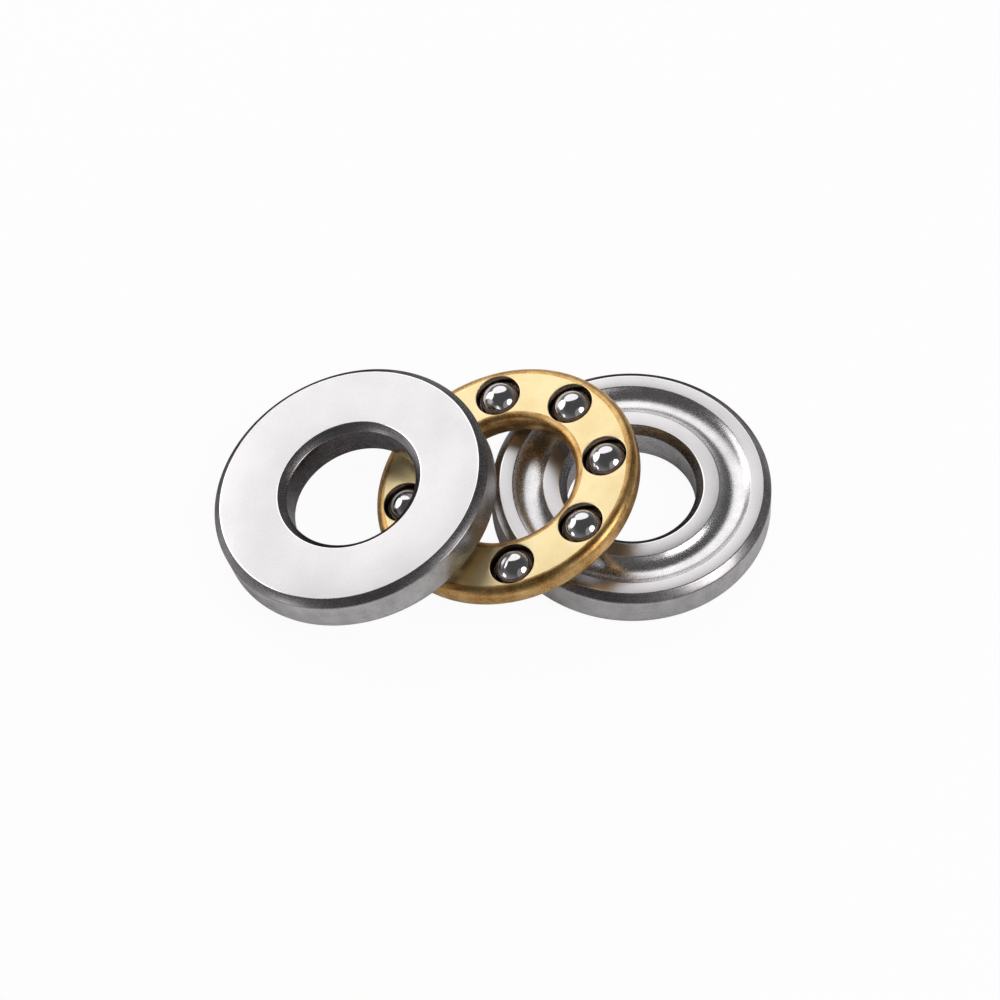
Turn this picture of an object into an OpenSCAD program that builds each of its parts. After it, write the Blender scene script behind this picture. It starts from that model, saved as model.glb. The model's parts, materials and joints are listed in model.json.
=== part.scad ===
// Separable thrust ball bearing, 5 mm bore, 11 mm outside diameter, 4.5 mm high when assembled.
// Its two grooved washers and its caged ball row are laid out in an overlapping, leaning fan.
// Origin: on the shaft washer's axis, in the plane of its flat seat. +Z points up, out of its raceway.

/* [Washers] */
// Bore diameter of the shaft washer, a close fit on its shaft
shaft_bore = 5.0; // [4.6:0.1:5.1]
// Outside diameter of the shaft washer, which clears the housing
shaft_od = 10.8; // [10.5:0.1:11]
// Bore diameter of the housing washer, which clears the shaft
housing_bore = 5.2; // [4.8:0.1:5.3]
// Outside diameter of the housing washer, a close fit in its housing
housing_od = 11.0; // [10.7:0.1:11]
// Thickness of each washer
washer_t = 1.7; // [1.5:0.05:1.8]
// Width of the chamfer on each washer edge, along the face
chamfer = 0.29; // [0.1:0.01:0.32]
// Height of the same chamfer, along the wall
chamfer_h = 0.25; // [0.1:0.01:0.3]

/* [Raceways and balls] */
// Diameter of the circle that the ball centres lie on
pitch_d = 8.0; // [7.9:0.05:8.1]
// Ball diameter
ball_d = 1.588; // [1.5:0.001:1.6]
// Radius of the raceway groove's cross-section
groove_r = 0.86; // [0.82:0.01:0.95]
// Depth of the raceway groove
groove_depth = 0.244; // [0.15:0.002:0.26]

/* [Cage] */
// Thickness of the cage, both halves together
cage_t = 1.0; // [0.9:0.02:1]
// Outside diameter of the cage
cage_od = 10.5; // [10.4:0.02:10.54]
// Bore diameter of the cage
cage_bore = 5.5; // [5.4:0.02:5.6]
// Radius of the cage's rolled inner and outer edges
cage_round = 0.38; // [0.3:0.01:0.4]
// Gap between a ball and its pocket
pocket_gap = 0.036; // [0.03:0.002:0.04]
// Diameter of the lip that holds the ball in
lip_d = 1.55; // [1.5:0.01:1.56]
// Diameter of the pocket's flared mouth
mouth_d = 1.76; // [1.7:0.02:1.8]

/* [Fan layout] */
// Lean of the cage, lower edge towards -X, in degrees
cage_lean = 17; // [17:0.5:18]
// Cage centre along X
cage_x = -4.75; // [-4.8:0.01:-4.73]
// Cage centre along Y
cage_y = -0.52; // [-0.57:0.01:-0.47]
// Height of the cage's lowest edge above the floor
cage_lift = 0.387; // [0.377:0.005:0.397]
// Angle of the first ball from the uphill direction, in degrees
ball_phase = 4; // [0:1:45]
// Lean of the housing washer, lower edge towards -X, in degrees
housing_lean = 16.5; // [16.5:0.1:17.5]
// Housing washer centre along X
housing_x = -10.65; // [-10.7:0.01:-10.6]
// Housing washer centre along Y
housing_y = -1.0; // [-1.05:0.01:-0.95]

/* [Hidden] */

ball_count = 8;
ball_r = ball_d / 2;
pocket_r = ball_r + pocket_gap;
lip_z = sqrt(pow(pocket_r, 2) - pow(lip_d / 2, 2));  // height at which the pocket narrows to its lip

// Heights that set each leaning ring's lowest edge on the floor, or cage_lift above it
housing_z = (housing_od / 2 - chamfer) * sin(housing_lean) + washer_t / 2 * cos(housing_lean);
cage_edge_z = (cage_od / 2 - cage_round) * sin(cage_lean)
    + (cage_t / 2 - cage_round) * cos(cage_lean) + cage_round;
cage_z = cage_edge_z + cage_lift;

over = 0.01;  // how far a cutting shape passes a face
$fn = 180;

// Half section of one washer, from its seat at z = 0 to its raceway face at z = washer_t
module washer_section(bore, od) {
    inner = bore / 2;
    outer = od / 2;
    difference() {
        polygon([
            [inner, chamfer_h], [inner + chamfer, 0], [outer - chamfer, 0], [outer, chamfer_h],
            [outer, washer_t - chamfer_h], [outer - chamfer, washer_t],
            [inner + chamfer, washer_t], [inner, washer_t - chamfer_h]
        ]);
        translate([pitch_d / 2, washer_t - groove_depth + groove_r]) circle(groove_r);
    }
}

module washer(bore, od) {
    rotate_extrude() washer_section(bore, od);
}

// Half section of the whole cage, centred on its mid-plane, with rolled edges
module cage_section() {
    inner = cage_bore / 2;
    outer = cage_od / 2;
    half_t = cage_t / 2;
    translate([inner + cage_round, -half_t]) square([outer - inner - 2 * cage_round, cage_t]);
    translate([inner, cage_round - half_t]) square([outer - inner, cage_t - 2 * cage_round]);
    for (x = [inner + cage_round, outer - cage_round], y = [cage_round - half_t, half_t - cage_round])
        translate([x, y]) circle(cage_round);
}

// One pocket of the upper half: round inside, narrowed to a lip, and flared at its mouth
module pocket() {
    sphere(pocket_r, $fn = 96);
    translate([0, 0, lip_z])
        cylinder(r1 = lip_d / 2, r2 = mouth_d / 2, h = cage_t / 2 - lip_z, $fn = 96);
    translate([0, 0, cage_t / 2 - over]) cylinder(r = mouth_d / 2, h = 2 * over, $fn = 96);
}

// The upper half of the cage, its joint face at z = 0
module cage_half() {
    difference() {
        rotate_extrude() intersection() {
            cage_section();
            square([cage_od, cage_t]);
        }
        for (k = [0:ball_count - 1])
            rotate(ball_phase + k * 360 / ball_count) translate([pitch_d / 2, 0, 0]) pocket();
    }
}

// Puts its children in the leaning cage's own frame
module in_cage() {
    translate([cage_x, cage_y, cage_z]) rotate([0, -cage_lean, 0]) children();
}

module ball(number) {
    color("silver") in_cage() rotate(ball_phase + (number - 1) * 360 / ball_count)
        translate([pitch_d / 2, 0, 0]) sphere(ball_r, $fn = 96);
}

module shaft_washer() {
    color("lightgrey") washer(shaft_bore, shaft_od);
}

// Lies seat up, so its raceway faces down over the balls
module housing_washer() {
    color("gainsboro") translate([housing_x, housing_y, housing_z]) rotate([0, -housing_lean, 0])
        translate([0, 0, washer_t / 2]) rotate([180, 0, 0]) washer(housing_bore, housing_od);
}

module cage_lower_half() {
    color("goldenrod") in_cage() mirror([0, 0, 1]) cage_half();
}

module cage_upper_half() {
    color("gold") in_cage() cage_half();
}

shaft_washer();
housing_washer();
cage_lower_half();
cage_upper_half();
ball(1);  // ball_1
ball(2);  // ball_2
ball(3);  // ball_3
ball(4);  // ball_4
ball(5);  // ball_5
ball(6);  // ball_6
ball(7);  // ball_7
ball(8);  // ball_8
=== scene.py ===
import bpy
import json
import math
from mathutils import Euler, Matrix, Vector


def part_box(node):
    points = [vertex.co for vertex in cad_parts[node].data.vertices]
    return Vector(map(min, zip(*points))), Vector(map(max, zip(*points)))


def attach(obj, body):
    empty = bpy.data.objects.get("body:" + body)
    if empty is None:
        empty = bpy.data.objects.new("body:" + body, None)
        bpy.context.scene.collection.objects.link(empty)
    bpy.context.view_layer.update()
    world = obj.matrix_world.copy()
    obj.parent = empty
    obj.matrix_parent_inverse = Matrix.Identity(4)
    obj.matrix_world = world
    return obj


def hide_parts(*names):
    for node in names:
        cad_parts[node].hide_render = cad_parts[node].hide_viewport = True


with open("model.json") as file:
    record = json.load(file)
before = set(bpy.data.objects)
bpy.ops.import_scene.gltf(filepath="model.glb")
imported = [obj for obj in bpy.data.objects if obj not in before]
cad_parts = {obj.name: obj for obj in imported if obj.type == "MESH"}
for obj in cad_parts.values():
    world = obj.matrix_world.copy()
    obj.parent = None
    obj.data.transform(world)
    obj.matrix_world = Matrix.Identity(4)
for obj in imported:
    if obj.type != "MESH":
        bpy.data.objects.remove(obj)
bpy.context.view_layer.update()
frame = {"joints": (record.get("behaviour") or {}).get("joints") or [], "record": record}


# ---- Shaft washer -----------------------------------------------------------------------------
# The plate that grips the shaft: a through-hardened bearing steel ring, turned, then ground on its
# seat, its raceway face, its outer wall and its bore. It lies flat, with its raceway groove up.

mm = 0.001


def turn_ring(name, section, steps):
    """Turns a closed outline of (radius, height) points into a ring about +Z."""
    bpy.ops.object.select_all(action="DESELECT")
    radius, height = section[0]
    bpy.ops.mesh.primitive_circle_add(vertices=steps, radius=radius, fill_type="NOTHING")
    ring = bpy.context.object
    ring.name = ring.data.name = name
    bpy.ops.object.mode_set(mode="EDIT")
    bpy.ops.mesh.select_all(action="SELECT")
    bpy.ops.transform.translate(value=(0, 0, height))
    for r, z in section[1:] + section[:1]:
        bpy.ops.mesh.extrude_region_move(TRANSFORM_OT_translate={"value": (0, 0, z - height)})
        grow = r / radius
        bpy.ops.transform.resize(value=(grow, grow, 1), center_override=(0, 0, 0))
        radius, height = r, z
    bpy.ops.mesh.select_all(action="SELECT")
    bpy.ops.mesh.remove_doubles(threshold=1e-6)
    bpy.ops.mesh.normals_make_consistent(inside=False)
    bpy.ops.object.mode_set(mode="OBJECT")
    return ring


def arc(centre, radius, start, end, count):
    """Points on an arc of an outline, from one angle in degrees to another."""
    angles = [math.radians(start + (end - start) * k / count) for k in range(count + 1)]
    return [(centre[0] + radius * math.cos(a), centre[1] + radius * math.sin(a)) for a in angles]


def eased(before, corner, after, radius):
    """The points that round off one corner of an outline, given its neighbours, to a radius."""
    p, a, b = Vector(corner), Vector(before), Vector(after)
    u, v = (a - p).normalized(), (b - p).normalized()
    half = u.angle(v) / 2
    centre = p + (u + v).normalized() * radius / math.sin(half)
    start, end = p + u * radius / math.tan(half) - centre, p + v * radius / math.tan(half) - centre
    steps = 4
    turned = [start.lerp(end, k / steps).normalized() * radius + centre for k in range(steps + 1)]
    return [(q.x, q.y) for q in turned]


def washer_outline(bore_r, outer_r, thick):
    """A washer's cross-section, seat down, raceway groove up."""
    chamfer, rise = 0.29 * mm, 0.25 * mm  # along the face, and along the wall
    stoned = 0.08 * mm  # radius of the stoned edges
    pitch_r, groove_r, depth = 4.0 * mm, 0.86 * mm, 0.244 * mm
    half = math.degrees(math.acos((groove_r - depth) / groove_r))
    groove = arc((pitch_r, thick - depth + groove_r), groove_r, 270 + half, 270 - half, 24)
    corners = [
        (bore_r, thick - rise), (bore_r, rise), (bore_r + chamfer, 0), (outer_r - chamfer, 0),
        (outer_r, rise), (outer_r, thick - rise), (outer_r - chamfer, thick)]
    ends = [(bore_r + chamfer, thick)] + corners + [groove[0]]
    outline = []
    for k in range(1, len(corners) + 1):
        outline += eased(ends[k - 1], ends[k], ends[k + 1], stoned)
    return outline + groove + eased(groove[-1], ends[0], corners[0], stoned)


def break_edges(ring, width, limit):
    """Stones the sharp edges off and lets the faces stay flat up to them."""
    bpy.context.view_layer.objects.active = ring
    edge = ring.modifiers.new("broken_edges", "BEVEL")
    edge.width, edge.segments = width, 3
    edge.limit_method, edge.angle_limit = "ANGLE", math.radians(limit)
    bpy.ops.object.modifier_apply(modifier=edge.name)
    settle_shading(ring, 60)


def settle_shading(piece, sharp):
    """Smooth shading that follows the large faces and stays crisp past the sharp angle."""
    bpy.ops.object.select_all(action="DESELECT")
    piece.select_set(True)
    bpy.context.view_layer.objects.active = piece
    bpy.ops.object.shade_smooth_by_angle(angle=math.radians(sharp))
    weigh = piece.modifiers.new("face_weight", "WEIGHTED_NORMAL")
    weigh.keep_sharp = True
    bpy.ops.object.modifier_apply(modifier=weigh.name)


def set_down(piece, location, rotation):
    """Moves a piece to its place and writes the place into its mesh."""
    bpy.ops.object.select_all(action="DESELECT")
    piece.select_set(True)
    bpy.context.view_layer.objects.active = piece
    piece.location, piece.rotation_euler = location, rotation
    bpy.ops.object.transform_apply(location=True, rotation=True, scale=True)


def linear(code):
    """An sRGB hex colour as the linear colour that a shader takes."""
    parts = [int(code[i:i + 2], 16) / 255 for i in (1, 3, 5)]
    return [c / 12.92 if c <= 0.04045 else ((c + 0.055) / 1.055) ** 2.4 for c in parts] + [1]


def add(tree, kind, settings=(), links=()):
    """Adds a node, with its settings and the sockets that feed it."""
    node = tree.nodes.new("ShaderNode" + kind)
    for key, value in dict(settings).items():
        if isinstance(key, int) or key in node.inputs:
            node.inputs[key].default_value = value
        else:
            setattr(node, key, value)
    for key, source in dict(links).items():
        tree.links.new(source, node.inputs[key])
    return node


def machined_metal(name, centre, lean, light, dark, gloss, marks, grain, cloud, drawn=0.0,
                   glance="#ffffff"):
    """A metal worked on a lathe or grinder, its marks running round the ring's own axis.
    gloss: least and most roughness. marks: spacing in mm, changes round the ring, depth in mm
    and how much they darken. grain: size and depth in mm of the grit's speckle. cloud: size in
    mm of the uneven tone. drawn: how far the marks draw a reflection out across themselves.
    glance: how the surface is tinted where it is seen edge on. On the chamfers it is a dark tint that
    paints shade along the far side."""
    height_share = 1.7  # counts height with radius, so walls carry rings as well as faces
    full_turn = 6.28
    metal = bpy.data.materials.new(name)
    metal.use_nodes = True
    tree = metal.node_tree
    tree.nodes.clear()
    place = add(tree, "TexCoord")
    own = add(tree, "Mapping", {"vector_type": "TEXTURE", "Location": centre,
                                "Rotation": (0, -lean, 0)}, {"Vector": place.outputs["Object"]})
    flat = add(tree, "VectorMath", {"operation": "MULTIPLY", 1: (1, 1, 0)},
               {0: own.outputs["Vector"]})
    reach = add(tree, "VectorMath", {"operation": "LENGTH"}, {0: flat.outputs["Vector"]})
    way = add(tree, "VectorMath", {"operation": "NORMALIZE"}, {0: flat.outputs["Vector"]})
    high = add(tree, "SeparateXYZ", (), {"Vector": own.outputs["Vector"]})
    across = add(tree, "Math", {"operation": "MULTIPLY_ADD", 1: height_share},
                 {0: high.outputs["Z"], 2: reach.outputs["Value"]})
    lines = add(tree, "Math", {"operation": "MULTIPLY", 1: 1 / (marks[0] * mm)},
                {0: across.outputs["Value"]})
    stack = add(tree, "CombineXYZ", (), {"Z": lines.outputs["Value"]})
    round_it = add(tree, "VectorMath",
                   {"operation": "MULTIPLY_ADD", 1: (marks[1] / full_turn,) * 3},
                   {0: way.outputs["Vector"], 2: stack.outputs["Vector"]})
    tool = add(tree, "TexNoise", {"Scale": 1.0, "Detail": 3.0, "Roughness": 0.6},
               {"Vector": round_it.outputs["Vector"]})
    grit = add(tree, "TexNoise", {"Scale": 1 / (grain[0] * mm), "Detail": 2.0, "Roughness": 0.7},
               {"Vector": own.outputs["Vector"]})
    haze = add(tree, "TexNoise", {"Scale": 1 / (cloud * mm), "Detail": 3.0, "Roughness": 0.55},
               {"Vector": own.outputs["Vector"]})
    worn = add(tree, "Math", {"operation": "MULTIPLY_ADD", 1: marks[3]},
               {0: tool.outputs["Fac"], 2: haze.outputs["Fac"]})
    spread = (0.30 + marks[3] * 0.3, 0.72 + marks[3] * 0.7)
    tone = add(tree, "MapRange", {"From Min": spread[0], "From Max": spread[1]},
               {"Value": worn.outputs["Value"]})
    fleck = add(tree, "MapRange", {"From Min": 0.3, "From Max": 0.7, "To Min": -0.35,
                                   "To Max": 0.35}, {"Value": grit.outputs["Fac"]})
    speck = add(tree, "Math", {"operation": "ADD", "use_clamp": True},
                {0: fleck.outputs["Result"], 1: tone.outputs["Result"]})
    paint = add(tree, "Mix", {"data_type": "RGBA", 6: linear(dark), 7: linear(light)},
                {0: speck.outputs["Value"]})
    shine = add(tree, "MapRange", {"From Min": 0.3, "From Max": 0.7, "To Min": gloss[0],
                                   "To Max": gloss[1]}, {"Value": grit.outputs["Fac"]})
    scored = add(tree, "Bump", {"Strength": 1.0, "Distance": marks[2] * mm},
                 {"Height": tool.outputs["Fac"]})
    gritty = add(tree, "Bump", {"Strength": 1.0, "Distance": grain[1] * mm},
                 {"Height": grit.outputs["Fac"], "Normal": scored.outputs["Normal"]})
    ringwise = add(tree, "VectorMath", {"operation": "CROSS_PRODUCT", 1: (0, 0, 1)},
                   {0: way.outputs["Vector"]})
    tangent = add(tree, "Mapping", {"vector_type": "VECTOR", "Rotation": (0, -lean, 0)},
                  {"Vector": ringwise.outputs["Vector"]})
    shader = add(tree, "BsdfPrincipled", {"Metallic": 1.0, "Anisotropic": drawn,
                                          "Specular Tint": linear(glance)},
                 {"Base Color": paint.outputs[2], "Roughness": shine.outputs["Result"],
                  "Normal": gritty.outputs["Normal"], "Tangent": tangent.outputs["Vector"]})
    add(tree, "OutputMaterial", (), {"Surface": shader.outputs["BSDF"]})
    return metal


def washer_finishes(label, centre, lean, bore):
    """The ways in which a washer's steel is finished, in the order of its material slots."""
    # Real grinding and turning marks lie about 0.01 mm apart. Here they are 0.035 mm or more, and
    # the grit is 0.03 mm or more, so that they show.
    return [
        # Plane-ground faces: pale, even and silky, with a fine cross-grained speckle.
        machined_metal(label + "_ground_face_steel", centre, lean, "#e7e4e6", "#dad7d9",
                       (0.29, 0.35), (0.09, 9, 0.0, 0.05), (0.085, 0.0003), 2.5),
        # Honed raceway: brighter, with grit marks that scatter the edge of each reflection.
        machined_metal(label + "_honed_raceway_steel", centre, lean, "#f4f2f3", "#cfcccd",
                       (0.19, 0.30), (0.06, 14, 0.0006, 0.4), (0.050, 0.0034), 0.9),
        # Turned chamfers, left as hardened: darker, ringed by the lathe tool, with a dark edge-on
        # tint that paints shade along the far chamfers.
        machined_metal(label + "_turned_chamfer_steel", centre, lean, "#b0acae", "#7f7b7d",
                       (0.22, 0.32), (0.035, 4, 0.0014, 1.0), (0.03, 0.0001), 0.8, 0.5,
                       "#5c5a5b"),
        # Centreless-ground outer wall: grey and cloudy, with faint rings.
        machined_metal(label + "_ground_wall_steel", centre, lean, "#d6d4d5", "#adaaab",
                       (0.24, 0.38), (0.06, 16, 0.0006, 0.5), (0.05, 0.0005), 0.6, 0.7),
        # The bore, ground where it grips a shaft. Where it clears one, in the housing washer, it is
        # given darker colours as painted shade, for the shadow under the washer that its bore
        # reflects.
        machined_metal(label + "_bore_steel", centre, lean, bore[0], bore[1],
                       (0.20, 0.34), (0.06, 9, 0.0008, 0.6), (0.07, 0.0006), 0.6, 0.3),
        # Edges broken with a fine stone: burnished and glossier, and white as a painted highlight, so
        # that they show as a thin bright line.
        machined_metal(label + "_stoned_edge_painted_highlight_steel", centre, lean, "#ffffff", "#f2f0f1",
                       (0.12, 0.18), (0.05, 11, 0.0, 0.1), (0.08, 0.0001), 0.8),
    ]


def finish_washer(washer, thick, middle_r, finishes):
    """Gives each face of a washer, still in its turning position, the finish that it is ground to."""
    pitch_r, groove_reach, groove_depth = 4.0 * mm, 0.65 * mm, 0.26 * mm
    flat, edge, slope = 0.9999, 0.85, 0.05  # least upward part of each kind of face's normal
    for metal in finishes:
        washer.data.materials.append(metal)
    for face in washer.data.polygons:
        r, z, up = face.center.xy.length, face.center.z, abs(face.normal.z)
        if up > flat:
            face.material_index = 0
        elif abs(r - pitch_r) < groove_reach and z > thick - groove_depth:
            face.material_index = 1
        # Edge strips take the stoned edge steel, whose white is a painted highlight.
        elif up > edge:
            face.material_index = 5
        elif up > slope:
            face.material_index = 2
        else:
            face.material_index = 3 if r > middle_r else 4


mounts = {m["name"]: m for m in frame["record"]["mounts"]}
shaft_low, shaft_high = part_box("shaft_washer")
shaft_thick = shaft_high.z - shaft_low.z
wall_split_r = 3.6 * mm  # parts the bore's wall from the outer wall
edge_bevel, edge_limit = 0.035 * mm, 25
shaft_washer = turn_ring(
    "shaft_washer_ground",
    washer_outline(mounts["shaft_bore"]["dims"]["r_mm"] * mm, shaft_high.x, shaft_thick), 256)
finish_washer(shaft_washer, shaft_thick, wall_split_r,
              washer_finishes("shaft_washer", (0, 0, shaft_low.z), 0, ("#d0cdcf", "#a29ea0")))
break_edges(shaft_washer, edge_bevel, edge_limit)
set_down(shaft_washer, (0, 0, shaft_low.z), (0, 0, 0))
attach(shaft_washer, "shaft_washer")
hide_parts("shaft_washer")


# ---- Housing washer ---------------------------------------------------------------------------
# The plate that sits in the housing: the same steel and the same grinding, with a bore that clears
# the shaft. It lies seat up over the ball row and leans to the left, so its groove faces down.

joints = {j["name"]: j for j in frame["joints"]}
housing_at = Vector(joints["housing_spin"]["pos_m"])
housing_axis = Vector(joints["housing_spin"]["axis"]).normalized()
housing_lean = math.atan2(-housing_axis.x, housing_axis.z)
housing_r = mounts["housing_outside"]["dims"]["r_mm"] * mm
housing_washer = turn_ring(
    "housing_washer_ground",
    washer_outline(mounts["housing_bore"]["dims"]["r_mm"] * mm, housing_r, shaft_thick), 256)
# Its bore colours are dark as painted shade: the shadow under the leaning washer, seen in its bore.
finish_washer(housing_washer, shaft_thick, wall_split_r,
              washer_finishes("housing_washer", housing_at, housing_lean, ("#8d888a", "#5c5759")))
break_edges(housing_washer, edge_bevel, edge_limit)
seat_up = Euler((math.pi, 0, 0)).to_matrix()
tilt = Euler((0, -housing_lean, 0)).to_matrix()
set_down(housing_washer, housing_at + housing_axis * shaft_thick / 2, (tilt @ seat_up).to_euler())
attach(housing_washer, "housing_washer")
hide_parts("housing_washer")


# ---- Cage -------------------------------------------------------------------------------------
# Two pressed brass rings, back to back, with their edges rolled round and eight pockets each.
# Each pocket narrows to a lip at its mouth, and the faces are tumbled to a satin gold.

cage_at = Vector(joints["cage_spin"]["pos_m"])
cage_axis = Vector(joints["cage_spin"]["axis"]).normalized()
cage_lean = math.atan2(-cage_axis.x, cage_axis.z)
cage_low, cage_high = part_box("cage_upper_half")
cage_r = (cage_high.y - cage_low.y) / 2
cage_bore_r, cage_half, rolled = 2.75 * mm, 0.5 * mm, 0.38 * mm
# A real lip holds its ball in. This one is drawn 0.006 mm clear of it, so that more of it shows.
pocket_r, lip_r, mouth_r, ball_r = 0.83 * mm, 0.80 * mm, 0.885 * mm, 0.794 * mm
cage_tilt = Euler((0, -cage_lean, 0)).to_matrix()


def pocket_spot(k):
    """Where pocket k's centre lies when the cage is level and centred."""
    return cage_tilt.inverted() @ (Vector(joints[f"ball_{k + 1}_roll"]["pos_m"]) - cage_at)


def cut_pockets(half):
    """Presses the ball pockets through one half, whose joint face lies at z = 0."""
    past = 0.3 * mm  # how far the punch passes each face
    lip_z = math.sqrt(pocket_r ** 2 - lip_r ** 2)
    lip_turn = math.degrees(math.asin(lip_z / pocket_r))
    slope = math.atan2(cage_half - lip_z, mouth_r - lip_r)
    outline = [(pocket_r, -past)] + arc((0, 0), pocket_r, 0, lip_turn - 2, 9)
    # A narrow land at the lip, then the flare, whose mouth is rolled over softly into the face.
    outline += [(lip_r, lip_z + 0.006 * mm), (lip_r + 0.012 * mm, lip_z + 0.024 * mm)]
    soft = 0.06 * mm
    turn_in = soft * math.tan(slope / 2)
    outline += arc((mouth_r + turn_in, cage_half - soft), soft, 90 + math.degrees(slope), 97, 4)
    shank_r = mouth_r + turn_in + 0.05 * mm
    outline += [(shank_r, cage_half + 0.006 * mm), (shank_r, cage_half + past)]
    bpy.ops.object.select_all(action="DESELECT")
    radius, height = outline[0]
    bpy.ops.mesh.primitive_circle_add(vertices=96, radius=radius, fill_type="NGON")
    punch = bpy.context.object
    bpy.ops.object.mode_set(mode="EDIT")
    bpy.ops.mesh.select_all(action="SELECT")
    bpy.ops.transform.translate(value=(0, 0, height))
    for r, z in outline[1:]:
        bpy.ops.mesh.extrude_region_move(TRANSFORM_OT_translate={"value": (0, 0, z - height)})
        bpy.ops.transform.resize(value=(r / radius, r / radius, 1), center_override=(0, 0, 0))
        radius, height = r, z
    bpy.ops.mesh.select_all(action="SELECT")
    bpy.ops.mesh.normals_make_consistent(inside=False)
    bpy.ops.object.mode_set(mode="OBJECT")
    punches = []
    for k in range(8):
        spot = pocket_spot(k)
        copy = punch.copy()
        copy.data = punch.data.copy()
        bpy.context.scene.collection.objects.link(copy)
        copy.location = (spot.x, spot.y, 0)
        punches.append(copy)
    bpy.data.objects.remove(punch)
    bpy.ops.object.select_all(action="DESELECT")
    for copy in punches:
        copy.select_set(True)
    bpy.context.view_layer.objects.active = punches[0]
    bpy.ops.object.transform_apply(location=True, rotation=True, scale=True)
    bpy.ops.object.join()
    bpy.ops.object.select_all(action="DESELECT")
    half.select_set(True)
    bpy.context.view_layer.objects.active = half
    cut = half.modifiers.new("pockets", "BOOLEAN")
    cut.operation, cut.solver, cut.object = "DIFFERENCE", "EXACT", punches[0]
    bpy.ops.object.modifier_apply(modifier=cut.name)
    bpy.data.objects.remove(punches[0])


def pressed_half(name, flip):
    """One half of the cage, in place. flip mirrors it through the joint face for the lower half."""
    near_face = 0.001 * mm  # closer to the joint face than this is on it
    flat_reach = 0.865 * mm  # half the width of the flat between the rolled edges
    level = 0.999  # least upward part of a normal that counts as the flat face's
    outline = ([(cage_bore_r, 0)]
               + arc((cage_bore_r + rolled, cage_half - rolled), rolled, 180, 90, 12)
               + arc((cage_r - rolled, cage_half - rolled), rolled, 90, 0, 12)
               + [(cage_r, 0)])
    half = turn_ring(name, outline, 256)
    for metal in cage_finishes:
        half.data.materials.append(metal)
    for face in half.data.polygons:
        rolled_edge = abs(face.center.xy.length - (cage_r + cage_bore_r) / 2) > flat_reach
        # The lower pressing's flat faces take the underside brass, whose darker colour is painted
        # shade.
        plain = 3 if flip else 0
        # Rolled edges take the browner brass, whose brown is painted shade; the flat takes the face
        # or underside brass.
        face.material_index = 1 if rolled_edge and face.center.z > near_face else plain
    cut_pockets(half)
    # Pocket walls take slot 2, whose dark brass paints the shade in the pockets.
    for face in half.data.polygons:
        spot = face.center
        for k in range(8):
            pocket = pocket_spot(k)
            near = math.hypot(spot.x - pocket.x, spot.y - pocket.y)
            if near < mouth_r and spot.z > near_face and face.normal.z < level:
                face.material_index = 2
    settle_shading(half, 40)
    if flip:
        bpy.ops.object.select_all(action="DESELECT")
        half.select_set(True)
        bpy.context.view_layer.objects.active = half
        half.scale = (1, 1, -1)
        bpy.ops.object.transform_apply(location=True, rotation=True, scale=True)
        bpy.ops.object.mode_set(mode="EDIT")
        bpy.ops.mesh.select_all(action="SELECT")
        bpy.ops.mesh.normals_make_consistent(inside=False)
        bpy.ops.object.mode_set(mode="OBJECT")
        settle_shading(half, 40)
    set_down(half, cage_at, (0, -cage_lean, 0))
    return half


cage_finishes = [
    # Rolled and tumbled brass faces: pale satin gold, nearly plain.
    machined_metal("cage_tumbled_face_brass", cage_at, cage_lean, "#f9e6b6", "#efd79f",
                   (0.30, 0.40), (0.12, 8, 0.0001, 0.1), (0.09, 0.0008), 1.2),
    # Rolled edges: the same brass, grainier where the press worked it, and browner as painted shade
    # where the edges roll away from the light.
    machined_metal("cage_rolled_edge_painted_shade_brass", cage_at, cage_lean, "#eac584", "#a8733a",
                   (0.28, 0.42), (0.07, 10, 0.0006, 0.3), (0.06, 0.0030), 0.7),
    # Pocket walls: glossy where the balls burnish them, and dark brown as painted shade in the
    # pockets' hollows.
    machined_metal("cage_pocket_painted_shade_brass", cage_at, cage_lean, "#6f5f52", "#3f332b",
                   (0.12, 0.20), (0.07, 10, 0.0005, 0.3), (0.07, 0.0006), 0.6),
    # Underside: rougher than the top, and darker and browner as painted shade, for the shadow under
    # the cage.
    machined_metal("cage_underside_painted_shade_brass", cage_at, cage_lean, "#9a8258", "#6b5535",
                   (0.36, 0.46), (0.12, 8, 0.0001, 0.1), (0.09, 0.0010), 1.0),
]
for name, node, flip in (("cage_upper_pressing", "cage_upper_half", False),
                         ("cage_lower_pressing", "cage_lower_half", True)):
    half = pressed_half(name, flip)
    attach(half, "cage")
    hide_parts(node)


# ---- Balls ------------------------------------------------------------------------------------
# Eight 1/16 inch chrome steel balls, headed from wire, hardened and lapped to a mirror.
# Each one rolls in its own pocket and stands a little proud of the cage on both sides.

lapped = bpy.data.materials.new("ball_lapped_chrome_steel")
lapped.use_nodes = True
lapped_tree = lapped.node_tree
lapped_tree.nodes.clear()
where = add(lapped_tree, "TexCoord")
# Lapping leaves a haze of hairlines far finer than this; it is drawn at 0.15 mm so that it shows.
film = add(lapped_tree, "TexNoise", {"Scale": 1 / (0.15 * mm), "Detail": 3.0},
           {"Vector": where.outputs["Object"]})
film_gloss = add(lapped_tree, "MapRange", {"From Min": 0.3, "From Max": 0.7, "To Min": 0.05,
                                           "To Max": 0.11}, {"Value": film.outputs["Fac"]})
film_tone = add(lapped_tree, "Mix", {"data_type": "RGBA", 6: linear("#cfccce"),
                                     7: linear("#e4e2e4")}, {0: film.outputs["Fac"]})
lapped_shader = add(lapped_tree, "BsdfPrincipled", {"Metallic": 1.0},
                    {"Base Color": film_tone.outputs[2], "Roughness": film_gloss.outputs["Result"]})
add(lapped_tree, "OutputMaterial", (), {"Surface": lapped_shader.outputs["BSDF"]})

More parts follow.
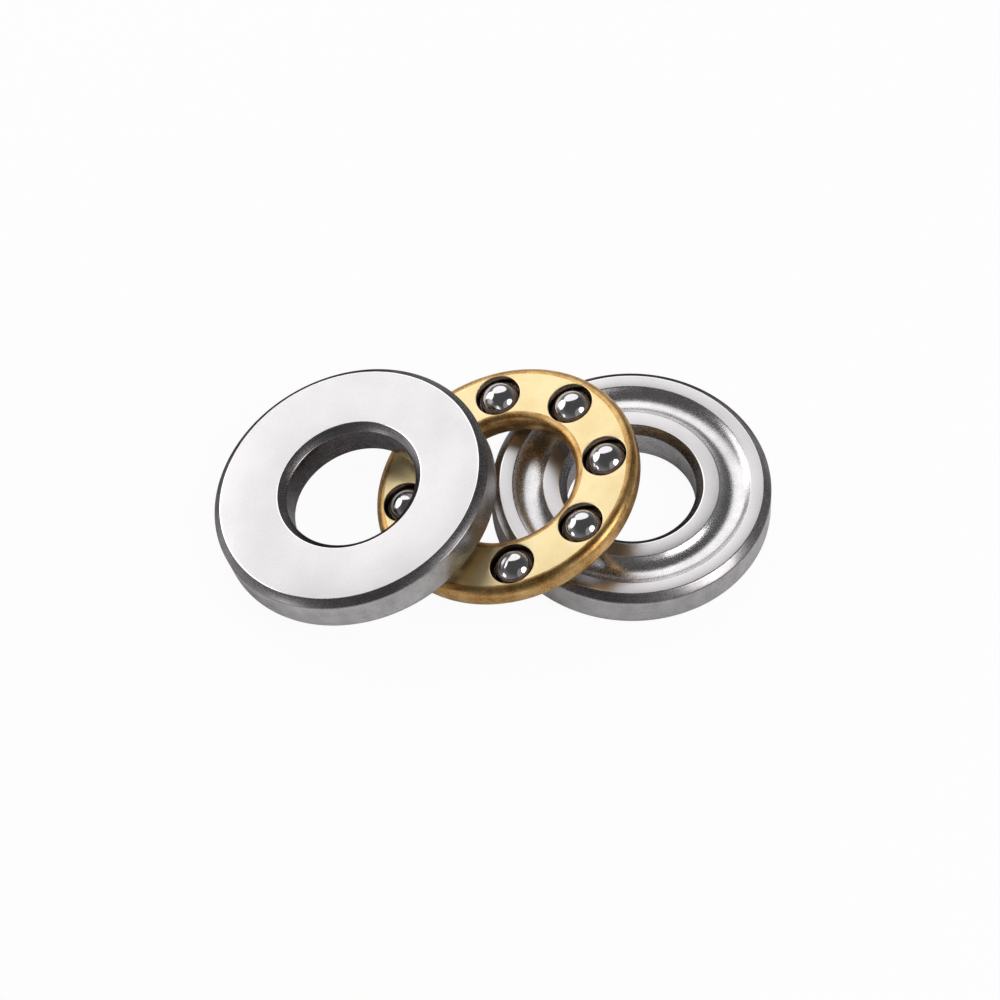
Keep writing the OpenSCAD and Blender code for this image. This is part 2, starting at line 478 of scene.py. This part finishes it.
bpy.ops.object.select_all(action="DESELECT")
bpy.ops.mesh.primitive_cube_add(size=1.6 * ball_r)
blank = bpy.context.object
bpy.ops.object.shade_smooth()
divide = blank.modifiers.new("divide", "SUBSURF")
divide.levels = divide.render_levels = 5
bpy.ops.object.modifier_apply(modifier=divide.name)
lap = blank.modifiers.new("lap", "CAST")
lap.cast_type, lap.factor, lap.use_radius_as_size, lap.size = "SPHERE", 1.0, False, ball_r
bpy.ops.object.modifier_apply(modifier=lap.name)
blank.data.materials.append(lapped)
for k in range(8):
    ball = blank.copy()
    ball.data = blank.data.copy()
    ball.name = ball.data.name = f"ball_{k + 1}_lapped"
    bpy.context.scene.collection.objects.link(ball)
    set_down(ball, joints[f"ball_{k + 1}_roll"]["pos_m"], (0, 0, 0))
    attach(ball, f"ball_{k + 1}")
    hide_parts(f"ball_{k + 1}")
bpy.data.objects.remove(blank)


# ---- Floor and light --------------------------------------------------------------------------
# A white sweep, lit softly: a broad box behind and above, smaller ones to the left, to the right
# and low down, and a dim one in front. The overhead one lights only the floor: no metal mirrors it.

bpy.ops.object.select_all(action="DESELECT")
bpy.ops.mesh.primitive_plane_add(size=60)
sweep = bpy.context.object
sweep.name = "sweep"
paper = bpy.data.materials.new("white_sweep_paper")
paper.use_nodes = True
paper_tree = paper.node_tree
paper_tree.nodes.clear()
matt = add(paper_tree, "BsdfDiffuse", {"Color": linear("#e8e8e8")})
glow = add(paper_tree, "Emission", {"Color": (1, 1, 1, 1), "Strength": 1.0})
seen = add(paper_tree, "LightPath")
# The eye sees the floor near white, with only a breath of shadow under the rings.
lift = add(paper_tree, "Math", {"operation": "MULTIPLY", 1: 0.95},
           {0: seen.outputs["Is Camera Ray"]})
sheet = add(paper_tree, "MixShader", (), {0: lift.outputs["Value"], 1: matt.outputs["BSDF"],
                                          2: glow.outputs["Emission"]})
add(paper_tree, "OutputMaterial", (), {"Surface": sheet.outputs["Shader"]})
sweep.data.materials.append(paper)

room = bpy.data.worlds.new("pale_room")
bpy.context.scene.world = room
room.use_nodes = True
room_tree = room.node_tree
room_tree.nodes.clear()
# The room is dark overhead and in front, and pales towards the horizon.
toward = add(room_tree, "TexCoord")
upward = add(room_tree, "SeparateXYZ", (), {"Vector": toward.outputs["Generated"]})
fade = add(room_tree, "MapRange", {"interpolation_type": "SMOOTHSTEP", "From Min": 0.0,
                                   "From Max": 0.7, "To Min": 0.24, "To Max": 0.08},
           {"Value": upward.outputs["Z"]})
dim = add(room_tree, "Background", {"Color": (1, 1, 1, 1)}, {"Strength": fade.outputs["Result"]})
bright = add(room_tree, "Background", {"Color": (1, 1, 1, 1), "Strength": 1.0})
looked = add(room_tree, "LightPath")
walls = add(room_tree, "MixShader", (), {0: looked.outputs["Is Camera Ray"],
                                         1: dim.outputs["Background"],
                                         2: bright.outputs["Background"]})
add(room_tree, "OutputWorld", (), {"Surface": walls.outputs["Shader"]})

middle = Vector((-5.08, -0.27, 1.0)) * mm


def soft_box(name, direction, distance, width, height, watts):
    """A rounded soft box that faces the bearing from a direction."""
    way = Vector(direction).normalized()
    turn = (-way).to_track_quat("-Z", "Y").to_euler()
    bpy.ops.object.light_add(type="AREA", location=middle + way * distance, rotation=turn)
    box = bpy.context.object
    box.name = name
    box.data.shape, box.data.size, box.data.size_y = "ELLIPSE", width, height
    box.data.energy = watts
    box.visible_camera = False
    return box


near_by = 0.13  # metres from the bearing
soft_box("back_box", (-0.18, 0.735, 0.65), near_by, 0.15, 0.12, 0.054)
soft_box("left_box", (-0.88, 0.30, 0.38), near_by, 0.11, 0.11, 0.055)
soft_box("right_box", (0.73, -0.34, 0.60), near_by, 0.07, 0.07, 0.050)
soft_box("low_box", (-0.86, -0.50, 0.10), near_by, 0.045, 0.03, 0.008)
soft_box("front_box", (0.55, -0.62, 0.56), near_by, 0.12, 0.12, 0.008)
overhead = soft_box("floor_box", (0.3, -0.2, 0.93), 0.30, 0.4, 0.4, 0.40)
overhead.visible_glossy = False


# ---- Camera -----------------------------------------------------------------------------------
# A long lens from the front, 55.5 degrees above the floor.

rise, distance = math.radians(55.5), 0.4
back = Vector((0, -math.cos(rise), math.sin(rise)))
bpy.ops.object.camera_add(location=middle + back * distance, rotation=(math.pi / 2 - rise, 0, 0))
camera = bpy.context.object
camera.data.lens, camera.data.sensor_width = 372.8, 36.0
camera.data.dof.use_dof = False
bpy.context.scene.camera = camera
bpy.context.scene.view_settings.view_transform = "Standard"
